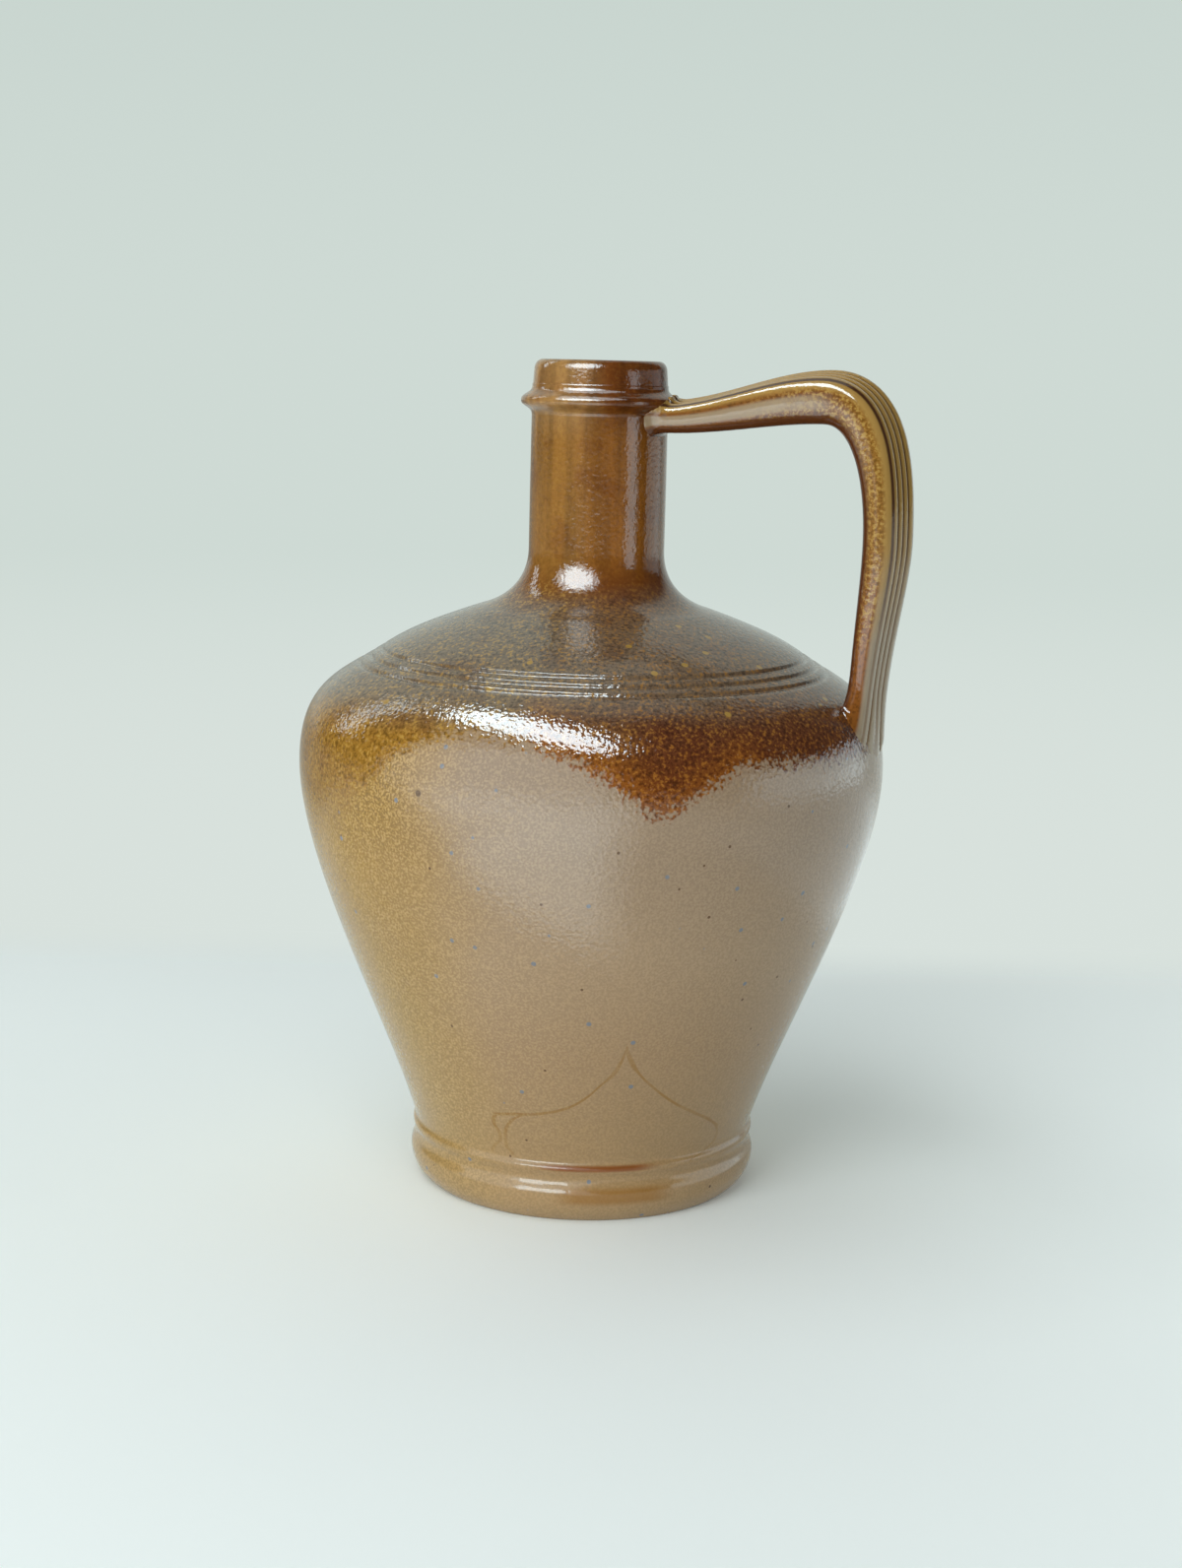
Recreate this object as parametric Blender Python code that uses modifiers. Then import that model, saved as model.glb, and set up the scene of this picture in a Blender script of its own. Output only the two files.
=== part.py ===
"""Stoneware bottle: a thrown, salt-glazed bottle with a turned foot, collared neck and reeded strap handle.

The pieces are the ones a potter makes and lutes together: the lower body, the shoulder, the neck, the collar
ring and the pulled strap handle. Lengths are in metres and angles in radians. The origin is the centre of the
flat base, +Z is up and +X points from the neck to the handle.
"""

import math

import bmesh
import bpy
from mathutils import Matrix, Vector
from mathutils.geometry import interpolate_bezier

MM = 0.001
DEGREE = math.pi / 180

# Clay and joints
WALL = 6.0 * MM
FLOOR_THICKNESS = 8.0 * MM
FLOOR_FILLET = 10.0 * MM
JOINT_GAP = 0.3 * MM

# Foot: a flat base, a roll, a groove, a bead and a waist, each set back from the roll and stacked upward
FOOT_RADIUS = 53.4 * MM
BASE_SET_BACK = 4.3 * MM
GROOVE_SET_BACK = 1.3 * MM
BEAD_SET_BACK = 0.5 * MM
WAIST_SET_BACK = 1.2 * MM
ROLL_RISE = 8.6 * MM
GROOVE_RISE = 5.0 * MM
BEAD_RISE = 3.0 * MM
WAIST_RISE = 2.2 * MM
BASE_EDGE_SLOPE = 40.0 * DEGREE

# Belly: from the waist to the widest line, where the lower body and the shoulder are luted together
BELLY_RADIUS = 88.6 * MM
BELLY_RISE = 110.7 * MM
BELLY_FLARE = 16.7 * DEGREE
BELLY_LOWER_PULL = 30.3 * MM
BELLY_UPPER_PULL = 30.2 * MM
GALLERY_WIDTH = 3.0 * MM
GALLERY_DEPTH = 1.5 * MM

# Shoulder: over the edge and up the dome to the seat of the neck, with incised rings
EDGE_SET_BACK = 17.2 * MM
EDGE_RISE = 29.4 * MM
EDGE_SLOPE = 30.3 * DEGREE
EDGE_LOWER_PULL = 18.3 * MM
EDGE_UPPER_PULL = 11.4 * MM
DOME_RISE = 17.2 * MM
DOME_LOWER_PULL = 14.0 * MM
DOME_UPPER_PULL = 26.6 * MM
RING_COUNT = 3
RING_SET_BACK = 17.8 * MM
RING_PITCH = 3.3 * MM
RING_WIDTH = 1.6 * MM
RING_DEPTH = 0.6 * MM

# Neck: its bevelled seat on the shoulder, its flared root, tube and lip
NECK_RADIUS = 20.4 * MM
NECK_LENGTH = 56.0 * MM
NECK_ROOT_SPREAD = 15.6 * MM
NECK_ROOT_RISE = 17.9 * MM
NECK_ROOT_PULL = 14.7 * MM
SEAT_SLOPE = 19.5 * DEGREE
SEAT_LAP = 3.0 * MM
BORE_RADIUS = 13.5 * MM
BORE_FLARE_LENGTH = 7.4 * MM
LIP_SET_BACK = 0.2 * MM
LIP_ROUND = 2.7 * MM
MOUTH_ROUND = 1.5 * MM

# Collar ring: a roll of clay pressed into a shallow seat round the neck, under the lip
COLLAR_STAND = 2.8 * MM
COLLAR_DROP = 12.1 * MM
COLLAR_HALF_HEIGHT = 3.7 * MM
COLLAR_SEAT_DEPTH = 0.8 * MM

# Strap handle: its centre line, from inside the neck over the crest and down the grip into the shoulder
ROOT_DROP = 15.7 * MM
ROOT_EMBED = 9.0 * MM
ROOT_DROOP = 6.0 * DEGREE
ROOT_PULL = 22.0 * MM
CREST_RISE = 6.6 * MM
CREST_SET_BACK = 18.8 * MM
CREST_INNER_PULL = 18.0 * MM
CREST_OUTER_PULL = 13.1 * MM
GRIP_DROP = 40.7 * MM
GRIP_BULGE = 4.3 * MM
GRIP_UPPER_PULL = 24.6 * MM
GRIP_LOWER_PULL = 13.7 * MM
TAIL_SET_BACK = 4.3 * MM
TAIL_RISE = 12.5 * MM
TAIL_PULL = 25.3 * MM
TAIL_TUCK = 45.0 * DEGREE
TAIL_EMBED = 8.0 * MM

# Strap section: width and thickness at the root, the crest, the grip and the tail, with a reeded outer face;
# each reed's points are given as a share of its width and a drop from its crest
ROOT_WIDTH = 18.0 * MM
CREST_WIDTH = 25.0 * MM
GRIP_WIDTH = 25.0 * MM
TAIL_WIDTH = 22.0 * MM
ROOT_THICKNESS = 7.8 * MM
CREST_THICKNESS = 14.0 * MM
GRIP_THICKNESS = 9.7 * MM
TAIL_THICKNESS = 6.4 * MM
STRAP_TWIST = 8.0 * DEGREE
ROOT_FLARE = 2.5 * MM
FLARE_REACH = 4.0 * MM
STRAP_EDGE_RADIUS = 3.6 * MM
REED_COUNT = 4
REED_CROWN = 0.35 * MM
REED_GROOVE_DEPTH = 1.0 * MM
REED_FORM = (0.2, REED_CROWN), (0.5, 0.0), (0.8, REED_CROWN)

# Smoothness: steps round a turned piece, along a curve, round the strap's edge and between its knots
TURN_STEPS = 40
CURVE_STEPS = 6
EDGE_STEPS = 5
STRAP_STEPS = 13
MERGE_DISTANCE = 0.01 * MM
SHARP_ANGLE = 40.0 * DEGREE

# Handle lengths of the curves: of a quarter round, and of a moulding's swell, as a share of its rise
QUARTER_ROUND = 0.55
SWELL = 0.4

# Places that follow from the sizes, as (radius, height)
BASE = Vector((FOOT_RADIUS - BASE_SET_BACK, 0))
ROLL = Vector((FOOT_RADIUS, ROLL_RISE))
GROOVE = Vector((FOOT_RADIUS - GROOVE_SET_BACK, ROLL.y + GROOVE_RISE))
BEAD = Vector((FOOT_RADIUS - BEAD_SET_BACK, GROOVE.y + BEAD_RISE))
WAIST = Vector((FOOT_RADIUS - WAIST_SET_BACK, BEAD.y + WAIST_RISE))
WIDEST = Vector((BELLY_RADIUS, WAIST.y + BELLY_RISE))
EDGE = Vector((BELLY_RADIUS - EDGE_SET_BACK, WIDEST.y + EDGE_RISE))
SEAT = Vector((NECK_RADIUS + NECK_ROOT_SPREAD, EDGE.y + DOME_RISE))
NECK_FOOT = Vector((NECK_RADIUS, SEAT.y + NECK_ROOT_RISE))
HEIGHT = NECK_FOOT.y + NECK_LENGTH
LIP_RADIUS = NECK_RADIUS - LIP_SET_BACK
COLLAR = Vector((NECK_RADIUS + COLLAR_STAND, HEIGHT - COLLAR_DROP))
COLLAR_LOW = COLLAR.y - COLLAR_HALF_HEIGHT
COLLAR_HIGH = COLLAR.y + COLLAR_HALF_HEIGHT
ROOT = Vector((NECK_RADIUS - ROOT_EMBED, HEIGHT - ROOT_DROP))
TAIL = Vector((BELLY_RADIUS - TAIL_SET_BACK, WIDEST.y + TAIL_RISE))
CREST = Vector((TAIL.x + GRIP_BULGE - CREST_SET_BACK, ROOT.y + CREST_RISE))
GRIP = Vector((TAIL.x + GRIP_BULGE, CREST.y - GRIP_DROP))

# Glaze colours, linear RGB, with the roughness of each piece
LOWER_BODY_GLAZE = (0.30, 0.17, 0.09, 1.0), 0.32
SHOULDER_GLAZE = (0.15, 0.062, 0.028, 1.0), 0.25
NECK_GLAZE = (0.20, 0.085, 0.028, 1.0), 0.2
COLLAR_GLAZE = (0.16, 0.062, 0.024, 1.0), 0.2
HANDLE_GLAZE = (0.22, 0.085, 0.026, 1.0), 0.25


def clear_scene():
    for obj in list(bpy.data.objects):
        bpy.data.objects.remove(obj, do_unlink=True)


def new_collection(name):
    collection = bpy.data.collections.new(name)
    bpy.context.scene.collection.children.link(collection)
    return collection


def glaze(name, look):
    colour, roughness = look
    material = bpy.data.materials.new(name)
    material.use_nodes = True
    shader = material.node_tree.nodes["Principled BSDF"]
    shader.inputs["Base Color"].default_value = colour
    shader.inputs["Roughness"].default_value = roughness
    shader.inputs["Metallic"].default_value = 0.0
    return material


def along(point, angle, length):
    """The point this far from another, in a direction measured from +R toward +Z."""
    return point + length * Vector((math.cos(angle), math.sin(angle)))


def curve(start, start_handle, end_handle, end, steps=CURVE_STEPS):
    return interpolate_bezier(start, start_handle, end_handle, end, steps + 1)


def swell(lower, upper):
    """An S-curve between two lines of a moulding, upright at both."""
    rise = Vector((0, SWELL * (upper.y - lower.y)))
    return curve(lower, lower + rise, upper - rise, upper, CURVE_STEPS // 2)


def joined(*stretches):
    """Stretches of one outline in a row, without the points they share."""
    points = [stretches[0][0]]
    for stretch in stretches:
        points += stretch[1:]
    return points


def offset(outline, distance):
    """A parallel of an outline that climbs the bottle's outer side, moved outwards by a distance."""
    moved = []
    for i, point in enumerate(outline):
        before = outline[max(i - 1, 0)]
        after = outline[min(i + 1, len(outline) - 1)]
        tangent = (after - before).normalized()
        moved.append(point + distance * Vector((tangent.y, -tangent.x)))
    return moved


def foot_outline():
    bulge = SWELL * ROLL_RISE
    outward = along(BASE, BASE_EDGE_SLOPE, bulge)
    underside = curve(BASE, outward, ROLL - Vector((0, bulge)), ROLL, CURVE_STEPS // 2)
    return joined(underside, swell(ROLL, GROOVE), swell(GROOVE, BEAD), swell(BEAD, WAIST))


def belly_outline():
    lower = along(WAIST, math.pi / 2 - BELLY_FLARE, BELLY_LOWER_PULL)
    return curve(WAIST, lower, WIDEST - Vector((0, BELLY_UPPER_PULL)), WIDEST, 2 * CURVE_STEPS)


def shoulder_outline():
    """From the widest line to the seat of the neck, before the rings are incised."""
    up_edge = math.pi - EDGE_SLOPE
    up_seat = math.pi - SEAT_SLOPE
    lower = WIDEST + Vector((0, EDGE_LOWER_PULL))
    over = curve(WIDEST, lower, along(EDGE, up_edge, -EDGE_UPPER_PULL), EDGE, 2 * CURVE_STEPS)
    dome = curve(EDGE, along(EDGE, up_edge, DOME_LOWER_PULL), along(SEAT, up_seat, -DOME_UPPER_PULL), SEAT)
    return joined(over, dome)


def neck_root_outline(start):
    return curve(start, start, NECK_FOOT - Vector((0, NECK_ROOT_PULL)), NECK_FOOT, 2 * CURVE_STEPS)


def lip_outline():
    """From the lip's outer face over its rounded top into the mouth."""
    face = Vector((LIP_RADIUS, HEIGHT - LIP_ROUND))
    crown = Vector((LIP_RADIUS - LIP_ROUND, HEIGHT))
    rim = Vector((BORE_RADIUS + MOUTH_ROUND, HEIGHT))
    mouth = Vector((BORE_RADIUS, HEIGHT - MOUTH_ROUND))
    lip = QUARTER_ROUND * LIP_ROUND
    edge = QUARTER_ROUND * MOUTH_ROUND
    outer = curve(face, face + Vector((0, lip)), crown + Vector((lip, 0)), crown, CURVE_STEPS // 2)
    inner = curve(rim, rim - Vector((edge, 0)), mouth + Vector((0, edge)), mouth, CURVE_STEPS // 2)
    return outer + inner


def collar_outline():
    """The collar's roll, from its lower edge on the neck to its upper one."""
    low = Vector((NECK_RADIUS, COLLAR_LOW))
    high = Vector((LIP_RADIUS, COLLAR_HIGH))
    out = Vector((SWELL * COLLAR_STAND, 0))
    rise = Vector((0, QUARTER_ROUND * COLLAR_HALF_HEIGHT))
    lower = curve(low, low + out, COLLAR - rise, COLLAR, CURVE_STEPS // 2)
    upper = curve(COLLAR, COLLAR + rise, high + out, high, CURVE_STEPS // 2)
    return joined(lower, upper)


def incised(outline):
    """The shoulder's outline with a V-shaped ring cut at each of the ring radii."""

    def at(radius):
        for below, above in zip(outline, outline[1:]):
            if below.x >= radius >= above.x:
                share = (below.x - radius) / (below.x - above.x)
                tangent = (above - below).normalized()
                return below.lerp(above, share), Vector((tangent.y, -tangent.x))
        raise ValueError("a ring lies off the shoulder")

    half = RING_WIDTH / 2
    centres = [BELLY_RADIUS - RING_SET_BACK - i * RING_PITCH for i in range(RING_COUNT)]
    points = [p for p in outline if all(abs(p.x - radius) > half for radius in centres)]
    for radius in centres:
        bottom, normal = at(radius)
        points += [at(radius + half)[0], bottom - RING_DEPTH * normal, at(radius - half)[0]]
    return sorted(points, key=lambda p: -p.x)


def gallery(lift):
    """The V joint at the widest line, from the inner wall to the outer one, lifted by a gap."""
    middle = BELLY_RADIUS - WALL / 2
    half = GALLERY_WIDTH / 2
    level = WIDEST.y + lift
    return [
        Vector((BELLY_RADIUS - WALL, level)),
        Vector((middle - half, level)),
        Vector((middle, level - GALLERY_DEPTH)),
        Vector((middle + half, level)),
        Vector((BELLY_RADIUS, level)),
    ]


def neck_seat(gap):
    """Outer and inner end of the bevelled seat, moved up the slope until the faces are a gap apart."""
    up = along(Vector((0, 0)), math.pi - SEAT_SLOPE, 1)
    outward = Vector((up.y, -up.x))
    inner = SEAT - WALL * outward + SEAT_LAP * up
    slide = gap / abs(up.cross((inner - SEAT).normalized()))
    return SEAT + slide * up, inner + slide * up


def lower_body_profile():
    """Up the inner wall from the floor's centre, over the joint and down the outer wall to the base."""
    outer = joined(foot_outline(), belly_outline())
    bottom = FLOOR_THICKNESS + FLOOR_FILLET
    wall = [p for p in offset(belly_outline(), -WALL) if bottom < p.y < WIDEST.y - GALLERY_DEPTH]
    level = Vector((wall[0].x - FLOOR_FILLET, FLOOR_THICKNESS))
    corner = Vector((wall[0].x, FLOOR_THICKNESS))
    outward = level.lerp(corner, QUARTER_ROUND)
    fillet = curve(level, outward, corner.lerp(wall[0], SWELL), wall[0], CURVE_STEPS // 2)
    inner = [Vector((0, FLOOR_THICKNESS))] + fillet[:-1] + wall
    return inner + gallery(0) + outer[-2::-1] + [Vector((0, 0))]


def shoulder_profile():
    """Up the inner wall, over the bevelled seat, and down the outer wall to the joint."""
    outline = shoulder_outline()
    seat_outer, seat_inner = neck_seat(0)
    above_joint = WIDEST.y + JOINT_GAP
    inner = [p for p in offset(outline, -WALL) if p.y > above_joint]
    outer = [p for p in incised(outline) if above_joint < p.y < seat_outer.y]
    return inner + [seat_inner, seat_outer] + outer[::-1] + gallery(JOINT_GAP)[::-1]


def neck_profile():
    """Up the flared bore, over the lip, and down the outer side past the collar's seat to the bevel."""
    seat_outer, seat_inner = neck_seat(JOINT_GAP)
    bore = Vector((BORE_RADIUS, NECK_FOOT.y))
    flare = along(seat_inner, math.pi - SEAT_SLOPE, SEAT_LAP)
    inside = curve(seat_inner, flare, bore - Vector((0, BORE_FLARE_LENGTH)), bore)
    seat = NECK_RADIUS - COLLAR_SEAT_DEPTH
    collar_seat = [
        Vector((LIP_RADIUS, COLLAR_HIGH)),
        Vector((seat, COLLAR_HIGH)),
        Vector((seat, COLLAR_LOW)),
        Vector((NECK_RADIUS, COLLAR_LOW)),
    ]
    return inside + lip_outline()[::-1] + collar_seat + neck_root_outline(seat_outer)[::-1]


def collar_profile():
    """Up the inner face in the neck's seat, and down the roll."""
    seat = NECK_RADIUS - COLLAR_SEAT_DEPTH + JOINT_GAP
    low = COLLAR_LOW + JOINT_GAP
    high = COLLAR_HIGH - JOINT_GAP
    roll = [p for p in collar_outline() if low < p.y < high]
    return [Vector((seat, low)), Vector((seat, high))] + roll[::-1]


def envelope_profile():
    """The whole outer side of the bottle, a joint gap proud of it: what the handle is cut to."""
    outer = joined(belly_outline(), shoulder_outline(), neck_root_outline(SEAT), collar_outline())
    ends = [Vector((0, HEIGHT)), Vector((LIP_RADIUS + JOINT_GAP, HEIGHT))]
    return ends + offset(outer, JOINT_GAP)[::-1] + [Vector((0, WAIST.y))]


def turned(name, profile, collection, closed):
    """An object turned from a profile of (radius, height) points about the Z axis."""
    mesh = bpy.data.meshes.new(name)
    points = [(p.x, 0, p.y) for p in profile]
    edges = [(i, i + 1) for i in range(len(points) - 1)]
    if closed:
        edges.append((len(points) - 1, 0))
    mesh.from_pydata(points, edges, [])
    obj = bpy.data.objects.new(name, mesh)
    collection.objects.link(obj)
    screw = obj.modifiers.new("turn", "SCREW")
    screw.axis = "Z"
    screw.angle = 2 * math.pi
    screw.steps = screw.render_steps = TURN_STEPS
    screw.use_merge_vertices = True
    screw.merge_threshold = MERGE_DISTANCE
    screw.use_smooth_shade = True
    return obj


def strap_path():
    """Points along the strap's centre line in the XZ plane, its last one tucked into the shoulder."""
    droop = along(ROOT, -ROOT_DROOP, ROOT_PULL)
    rise = curve(ROOT, droop, CREST - Vector((CREST_INNER_PULL, 0)), CREST, STRAP_STEPS)
    over = CREST + Vector((CREST_OUTER_PULL, 0))
    bend = curve(CREST, over, GRIP + Vector((0, GRIP_UPPER_PULL)), GRIP, STRAP_STEPS)
    below = GRIP - Vector((0, GRIP_LOWER_PULL))
    fall = curve(GRIP, below, TAIL + Vector((0, TAIL_PULL)), TAIL, STRAP_STEPS)
    return joined(rise, bend, fall) + [along(TAIL, -math.pi / 2 - TAIL_TUCK, TAIL_EMBED)]


def eased(station, sizes):
    """A size at a station from 0 to 3, easing from each knot's value to the next."""
    knot = min(int(station), len(sizes) - 2)
    share = station - knot
    blend = share * share * (3 - 2 * share)
    return sizes[knot] + blend * (sizes[knot + 1] - sizes[knot])


def strap_section(width, thickness):
    """The strap's section as (across, outward) points: a reeded face, round edges and a plain inner face."""
    half = thickness / 2
    edge = min(STRAP_EDGE_RADIUS, half)
    flat = width / 2 - edge
    reed = 2 * flat / REED_COUNT
    points = []
    for i in range(REED_COUNT):
        left = -flat + i * reed
        if i:
            points.append(Vector((left, half - REED_GROOVE_DEPTH)))
        for share, drop in REED_FORM:
            points.append(Vector((left + share * reed, half - drop)))
    for i in range(EDGE_STEPS + 1):
        angle = math.pi * i / EDGE_STEPS
        points.append(Vector((flat + edge * math.sin(angle), (half - REED_CROWN) * math.cos(angle))))
    for i in range(EDGE_STEPS + 1):
        angle = math.pi * (1 - i / EDGE_STEPS)
        points.append(Vector((-flat - edge * math.sin(angle), (half - REED_CROWN) * math.cos(angle))))
    return points


def strap_rings():
    """The strap's sections in space, one ring of points for each point of the centre line."""
    path = strap_path()
    widths = (ROOT_WIDTH, CREST_WIDTH, GRIP_WIDTH, TAIL_WIDTH)
    thicknesses = (ROOT_THICKNESS, CREST_THICKNESS, GRIP_THICKNESS, TAIL_THICKNESS)
    aside = Vector((0, -1, 0))
    rings = []
    for i, point in enumerate(path):
        tangent = (path[min(i + 1, len(path) - 1)] - path[max(i - 1, 0)]).normalized()
        ahead = Vector((tangent.x, 0, tangent.y))
        turn = Matrix.Rotation(STRAP_TWIST, 3, ahead)
        across = turn @ aside
        outward = turn @ Vector((-tangent.y, 0, tangent.x))
        station = i / STRAP_STEPS
        to_neck = max(point.x - NECK_RADIUS, 0)
        width = eased(station, widths) + ROOT_FLARE * math.exp(-to_neck / FLARE_REACH)
        section = strap_section(width, eased(station, thicknesses))
        rings.append([Vector((point.x, 0, point.y)) + p.x * across + p.y * outward for p in section])
    return rings


def strap_mesh(name):
    """The strap as a loft: neighbouring sections bridged, and the two ends filled."""
    bm = bmesh.new()
    loops = []
    for ring in strap_rings():
        verts = [bm.verts.new(p) for p in ring]
        loops.append([bm.edges.new((verts[i - 1], verts[i])) for i in range(len(verts))])
    for near, far in zip(loops, loops[1:]):
        bmesh.ops.bridge_loops(bm, edges=near + far)
    for end in (loops[0], loops[-1]):
        bmesh.ops.contextual_create(bm, geom=end)
    bmesh.ops.recalc_face_normals(bm, faces=bm.faces)
    mesh = bpy.data.meshes.new(name)
    bm.to_mesh(mesh)
    bm.free()
    mesh.shade_smooth()
    mesh.set_sharp_from_angle(angle=SHARP_ANGLE)
    return mesh


def handle(collection, cutters):
    """The strap handle, its two roots cut to fit the neck, the collar and the shoulder."""
    envelope = turned("bottle_envelope", envelope_profile(), cutters, closed=False)
    envelope.hide_render = True
    envelope.display_type = "WIRE"
    obj = bpy.data.objects.new("handle", strap_mesh("handle"))
    collection.objects.link(obj)
    cut = obj.modifiers.new("roots", "BOOLEAN")
    cut.operation = "DIFFERENCE"
    cut.solver = "EXACT"
    cut.object = envelope
    return obj


def main():
    clear_scene()
    parts = new_collection("stoneware_bottle")
    cutters = new_collection("cutters")
    base = bpy.data.objects.new("bottle_base_centre", None)
    parts.objects.link(base)
    pieces = (
        (turned("lower_body", lower_body_profile(), parts, closed=False), LOWER_BODY_GLAZE),
        (turned("shoulder", shoulder_profile(), parts, closed=True), SHOULDER_GLAZE),
        (turned("neck", neck_profile(), parts, closed=True), NECK_GLAZE),
        (turned("collar_ring", collar_profile(), parts, closed=True), COLLAR_GLAZE),
        (handle(parts, cutters), HANDLE_GLAZE),
    )
    for piece, look in pieces:
        piece.parent = base
        piece.data.materials.append(glaze(piece.name + "_glaze", look))


main()
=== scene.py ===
"""Stoneware bottle in salt glaze, dressed for a studio photograph.

The origin is the centre of the flat base, +Z is up and +X points from the neck to the handle. Outlines are
lists of (radius, height) points that the turned pieces are spun from. What goes through at() or along(), the
strap's section and the heights of the marks in the glaze are in millimetres, and other lengths are in metres.
Colours are linear.
"""

import math

import bmesh
import bpy
from mathutils import Matrix, Vector
from mathutils.geometry import interpolate_bezier
from mathutils.kdtree import KDTree


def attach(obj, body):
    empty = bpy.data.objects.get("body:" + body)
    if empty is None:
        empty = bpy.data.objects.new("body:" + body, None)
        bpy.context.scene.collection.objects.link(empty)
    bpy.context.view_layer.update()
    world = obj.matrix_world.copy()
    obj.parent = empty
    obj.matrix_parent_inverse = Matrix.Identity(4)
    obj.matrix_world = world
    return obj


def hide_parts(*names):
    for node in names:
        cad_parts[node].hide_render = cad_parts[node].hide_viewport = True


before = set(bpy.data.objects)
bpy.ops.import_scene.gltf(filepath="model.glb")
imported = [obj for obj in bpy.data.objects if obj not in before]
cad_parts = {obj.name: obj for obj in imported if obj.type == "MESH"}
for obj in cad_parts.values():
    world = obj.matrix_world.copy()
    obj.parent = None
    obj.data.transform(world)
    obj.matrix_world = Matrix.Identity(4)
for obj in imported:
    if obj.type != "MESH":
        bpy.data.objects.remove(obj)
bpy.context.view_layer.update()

MM = 0.001
DEGREE = math.pi / 180
UP = Vector((0, 0, 1))
TO_CAMERA = Vector((0.309, -0.951, 0.0))
TO_RIGHT = Vector((0.951, 0.309, 0.0))


def at(radius, height):
    """A point of an outline."""
    return Vector((radius * MM, height * MM))


# The turned body, from the foot to the mouth
HEIGHT = 250.0
BASE = at(49.1, 0.0)
ROLL = at(53.4, 8.6)
GROOVE = at(52.1, 13.6)
BEAD = at(52.9, 16.6)
WAIST = at(52.2, 18.8)
WIDEST = at(88.6, 129.5)
EDGE = at(71.4, 158.9)
SEAT = at(36.0, 176.1)
NECK_FOOT = at(20.4, 194.0)
NECK_MIDDLE = at(20.4, 214.0)
NECK_TOP = at(20.3, 234.0)
LIP_FOOT = at(20.2, 241.6)
LIP_FACE = at(19.8, 247.0)
CROWN = at(17.2, HEIGHT)
RIM = at(15.0, HEIGHT)
MOUTH = at(13.5, 248.4)
UNDERSIDE_SLOPE = 40 * DEGREE
BELLY_SLOPE = 73.3 * DEGREE
EDGE_SLOPE = 149.7 * DEGREE
SEAT_SLOPE = 160.5 * DEGREE
SWELL_PULL = 0.42
WALL = 6.0 * MM
WALL_FOOT = 18.0 * MM
FLOOR_TOP = 8.0 * MM
FLOOR_FILLET = 10.0 * MM
FILLET_PULL = 0.55

# The rings in the shoulder
RING_RADII = (70.8, 67.5, 64.2)
RING_HALF_WIDTH = 0.95
RING_DEPTH = 0.62
RING_ROUNDNESS = 1.5

# The collar under the lip
COLLAR_SEAT = 19.6
COLLAR_NECK = 20.28
COLLAR_FOOT = 233.2
COLLAR_MIDDLE = 237.9
COLLAR_STEP = 0.22
COLLAR_STEPS = 44
COLLAR_STAND = 3.3
COLLAR_SPREAD = 2.35
COLLAR_FULLNESS = 2.8
COLLAR_FEATHER = 0.1

# How finely the turned pieces are spun
TURN_STEPS = 192
JOINT_EDGE = 0.1
MERGE = 0.004 * MM
CREASE = 50 * DEGREE

# The strap, with its widths and thicknesses at the root, the crest, the grip and the tail
ROOT = at(11.4, 234.3)
CREST = at(69.8, 240.9)
GRIP = at(88.6, 200.2)
TAIL = at(84.3, 142.0)
TAIL_STATION = 3
TUCK_SLOPE = -130 * DEGREE
STRAP_WIDTHS = (18.0, 25.0, 25.0, 22.0)
STRAP_THICKNESSES = (7.8, 14.0, 9.7, 6.4)
STRAP_TILT = 8 * DEGREE
STRAP_CREASE = 60 * DEGREE
NECK_WIPE = (3.0 * MM, 2.2 * MM)
SHOULDER_WIPE = (9.0 * MM, 4.0 * MM)

# The straight bar that the strap is bent from
BAR_WIDTH = 25.0
BAR_THICKNESS = 10.0
BAR_EDGE = 3.6
BAR_EDGE_DROP = 0.45
BAR_EDGE_STEPS = 12
BAR_BACK_STEPS = 6
BAR_BACK_CROWN = 0.15
BAR_START = 4.6 * MM
BAR_STEP = 1.3 * MM
ROOT_STEP = 0.4 * MM
ROOT_LENGTH = 17.0 * MM
REED_COUNT = 4
REED_STEPS = 8
REED_ROUNDNESS = 2.2
OUTER_REED_DROP = 0.45


def along(point, angle, length):
    """The point at a length from another, in a direction of the outline's plane."""
    return point + length * MM * Vector((math.cos(angle), math.sin(angle)))


def curve(start, start_handle, end_handle, end, steps):
    """Points of a Bezier curve, with both its ends."""
    return interpolate_bezier(start, start_handle, end_handle, end, steps + 1)


def joined(*stretches):
    """Stretches that each start where the one before ends, as one outline."""
    points = list(stretches[0])
    for stretch in stretches[1:]:
        points += stretch[1:]
    return points


def swell(lower, upper):
    """A soft step from one point to the next, upright at both."""
    pull = Vector((0, SWELL_PULL * (upper.y - lower.y)))
    return curve(lower, lower + pull, upper - pull, upper, steps=8)


def offset(outline, distance):
    """The outline moved to its right by a distance."""
    moved = []
    for i, point in enumerate(outline):
        before = outline[max(i - 1, 0)]
        after = outline[min(i + 1, len(outline) - 1)]
        tangent = (after - before).normalized()
        moved.append(point + distance * Vector((tangent.y, -tangent.x)))
    return moved


def foot_outline():
    """The rounded underside, then the roll, the groove and the bead up to the waist."""
    underside = curve(BASE, along(BASE, UNDERSIDE_SLOPE, 3.4), ROLL - at(0, 3.6), ROLL, steps=12)
    return joined(underside, swell(ROLL, GROOVE), swell(GROOVE, BEAD), swell(BEAD, WAIST))


def belly_outline():
    """From the waist up to the widest line, with a short last step at the joint."""
    belly = curve(WAIST, along(WAIST, BELLY_SLOPE, 30.3), WIDEST - at(0, 30.2), WIDEST, steps=48)
    return belly[:-1] + [WIDEST - at(0, JOINT_EDGE), WIDEST]


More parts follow.
